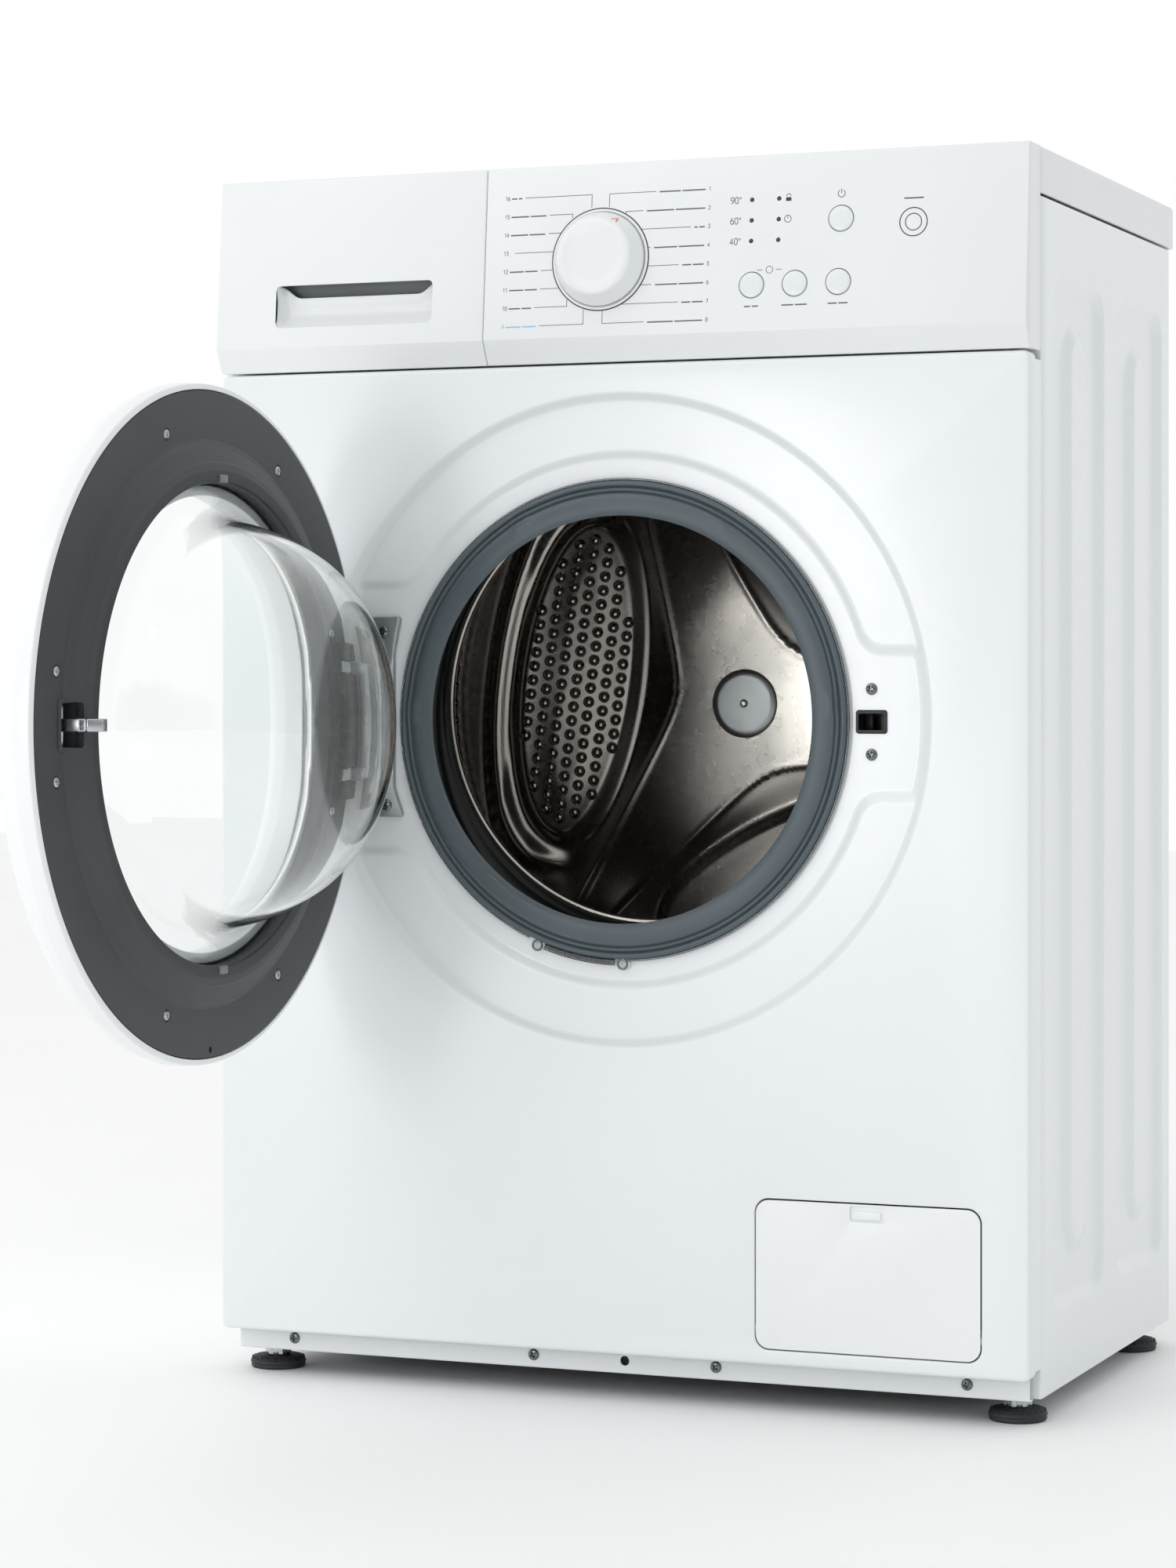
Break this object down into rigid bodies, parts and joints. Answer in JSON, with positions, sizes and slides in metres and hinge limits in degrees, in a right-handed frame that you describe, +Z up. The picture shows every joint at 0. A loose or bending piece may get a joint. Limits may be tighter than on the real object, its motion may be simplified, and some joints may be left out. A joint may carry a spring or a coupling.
{
  "type": "front-loading washing machine",
  "caption": "Narrow front-loading washing machine with its porthole door open, detergent drawer, programme knob and sprung drum unit inside a steel cabinet.",
  "frame": {"origin": "on the floor, below the middle of the front panel's face; the door stands open in front of it", "axes": "-Y towards the user, +X to the user's right, +Z up"},
  "size_m": [0.595, 0.8536, 0.85],
  "materials": {
    "white_steel": "satin enamel",
    "worktop_white": "satin",
    "zinc_sheet": "galvanised",
    "white_plastic": "satin gloss",
    "button_plastic": "satin",
    "tray_plastic": "satin",
    "dark_ring": "fine satin",
    "clear_glass": "clear",
    "zinc_steel": "zinc plated",
    "grey_casting": "die cast",
    "black_plastic": "matt",
    "grey_rubber": "smooth",
    "black_rubber": "matt",
    "stainless": "polished",
    "cast_aluminium": "cast",
    "bearing_steel": "ground",
    "tub_plastic": "moulded",
    "concrete": "rough",
    "spring_steel": "oiled",
    "motor_steel": "matt",
    "board_green": "soldered",
    "led_lens": "clear",
    "filter_plastic": "matt",
    "valve_plastic": "matt"
  },
  "bodies": {
    "cabinet": {"side_panel_left": "white_steel", "side_panel_right": "white_steel", "front_panel": "white_steel", "kick_strip": "white_steel", "top_cover": "worktop_white", "rear_panel": "zinc_sheet", "base_frame": "zinc_sheet", "top_brace": "zinc_sheet", "rear_cover": "zinc_sheet", "control_panel": "white_plastic", "dispenser_housing": "tray_plastic", "cabinet_screws": "zinc_steel", "foot_bolts": "zinc_steel", "gasket_clamp": "zinc_steel", "hinge_bracket": "grey_casting", "door_lock": "black_plastic", "rear_fittings": "black_plastic", "drain_pump": "black_plastic", "damper_cylinders": "black_plastic", "gasket": "grey_rubber", "inner_hoses": "grey_rubber", "foot_pads": "black_rubber", "suspension_springs": "spring_steel", "ui_board": "board_green", "main_board": "board_green", "light_guides": "led_lens", "inlet_valve": "valve_plastic"},
    "door": {"door_outer_frame": "white_plastic", "door_inner_ring": "dark_ring", "door_glass": "clear_glass", "hinge_pin": "zinc_steel", "door_screws": "zinc_steel"},
    "hook": {"door_hook": "zinc_steel"},
    "drawer": {"drawer_front": "white_plastic", "drawer_tray": "tray_plastic"},
    "knob": {"programme_knob": "white_plastic"},
    "power": {"power_button": "button_plastic"},
    "option_a": {"option_button_a": "button_plastic"},
    "option_b": {"option_button_b": "button_plastic"},
    "option_c": {"option_button_c": "button_plastic"},
    "tub": {"tub_front": "tub_plastic", "tub_rear": "tub_plastic", "counterweight_upper": "concrete", "counterweight_lower": "concrete", "damper_rods": "zinc_steel", "heater": "bearing_steel", "motor": "motor_steel", "bearings": "bearing_steel", "shaft_seal": "black_rubber", "drive_belt": "black_rubber"},
    "drum": {"drum_shell": "stainless", "drum_back": "stainless", "drum_lifters": "stainless", "drum_hub_cap": "stainless", "drum_spider": "cast_aluminium", "drum_shaft": "bearing_steel", "drum_pulley": "cast_aluminium"},
    "rotor": {"motor_rotor": "bearing_steel"},
    "filter": {"pump_filter": "filter_plastic"},
    "flap": {"service_flap": "white_plastic"}
  },
  "joints": [
    {"name": "door_hinge", "type": "hinge", "parent": "cabinet", "child": "door", "pos_m": [-0.1906, -0.01, 0.4665], "axis": [0, 0, 1], "range_deg": [0, 91.4]},
    {"name": "hook_pivot", "type": "hinge", "parent": "door", "child": "hook", "pos_m": [-0.2078, -0.38629, 0.467], "axis": [0, 0, 1], "range_deg": [-5, 5], "stiffness_Nm_per_rad": 0.5},
    {"name": "drawer_slide", "type": "slide", "parent": "cabinet", "child": "drawer", "axis": [0, -1, 0], "range_m": [0, 0.18]},
    {"name": "programme_knob_turn", "type": "hinge", "parent": "cabinet", "child": "knob", "pos_m": [-0.0045, -0.00379, 0.783], "axis": [0, -0.9969, 0.0792], "continuous": true},
    {"name": "power_press", "type": "slide", "parent": "cabinet", "child": "power", "axis": [0, 0.9969, -0.0792], "range_m": [0, 0.0015], "stiffness_N_per_m": 400, "springref_m": -0.001},
    {"name": "option_a_press", "type": "slide", "parent": "cabinet", "child": "option_a", "axis": [0, 0.9969, -0.0792], "range_m": [0, 0.0015], "stiffness_N_per_m": 400, "springref_m": -0.001},
    {"name": "option_b_press", "type": "slide", "parent": "cabinet", "child": "option_b", "axis": [0, 0.9969, -0.0792], "range_m": [0, 0.0015], "stiffness_N_per_m": 400, "springref_m": -0.001},
    {"name": "option_c_press", "type": "slide", "parent": "cabinet", "child": "option_c", "axis": [0, 0.9969, -0.0792], "range_m": [0, 0.0015], "stiffness_N_per_m": 400, "springref_m": -0.001},
    {"name": "tub_float", "type": "slide", "parent": "cabinet", "child": "tub", "axis": [0, 0, 1], "range_m": [-0.008, 0.008], "stiffness_N_per_m": 14000, "springref_m": 0.01795, "deforming": ["suspension_springs", "inner_hoses", "gasket"]},
    {"name": "drum_spin", "type": "hinge", "parent": "tub", "child": "drum", "pos_m": [0.006, 0.165, 0.478], "axis": [0, 1, 0], "continuous": true},
    {"name": "rotor_spin", "type": "hinge", "parent": "tub", "child": "rotor", "pos_m": [0.05, 0.25, 0.138], "axis": [0, 1, 0], "continuous": true},
    {"name": "filter_turn", "type": "hinge", "parent": "cabinet", "child": "filter", "pos_m": [0.185, 0.02, 0.092], "axis": [0, -1, 0], "range_deg": [0, 90]},
    {"name": "flap_hinge", "type": "hinge", "parent": "cabinet", "child": "flap", "pos_m": [0.18535, 0.0046, 0.058], "axis": [1, 0, 0], "range_deg": [0, 85]}
  ],
  "couplings": [
    {"joint": "rotor_spin", "follows": "drum_spin", "ratio": 12.727}
  ]
}
